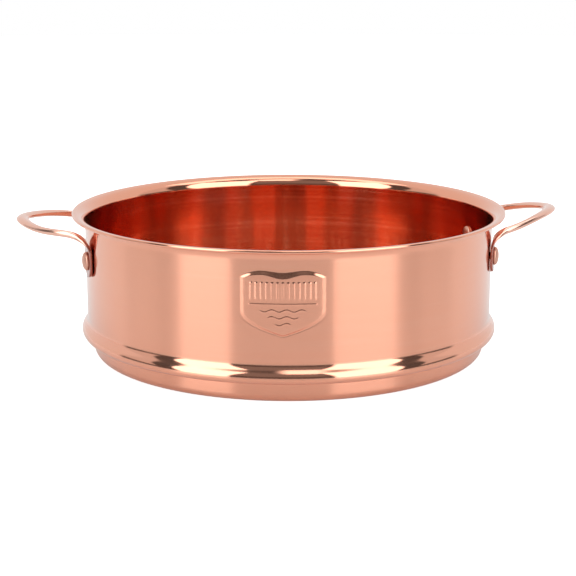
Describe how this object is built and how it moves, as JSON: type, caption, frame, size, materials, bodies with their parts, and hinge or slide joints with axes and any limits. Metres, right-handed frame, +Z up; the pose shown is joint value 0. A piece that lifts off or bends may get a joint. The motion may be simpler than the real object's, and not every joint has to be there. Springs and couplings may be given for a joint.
{
  "type": "steamer tier",
  "caption": "Shallow round stackable steamer vessel with flared lip, perforated floor, stop bead, nesting skirt and riveted rod loop handles, in copper finish.",
  "frame": {"origin": "on the vessel's axis, at the underside of its floor", "axes": "+Z up; X through the two handles, handle_right on +X; the ornament on the -Y side of the wall"},
  "size_m": [0.3734, 0.2974, 0.098],
  "materials": {
    "shell": "polished rose-copper plating on stainless steel",
    "handle_rod": "polished rose-copper plating on stainless steel rod",
    "rivet": "satin rose-copper plating"
  },
  "bodies": {
    "root": {"vessel_body": "shell", "handle_left": "handle_rod", "handle_right": "handle_rod", "rivet_left_front": "rivet", "rivet_left_rear": "rivet", "rivet_right_front": "rivet", "rivet_right_rear": "rivet"}
  },
  "joints": []
}
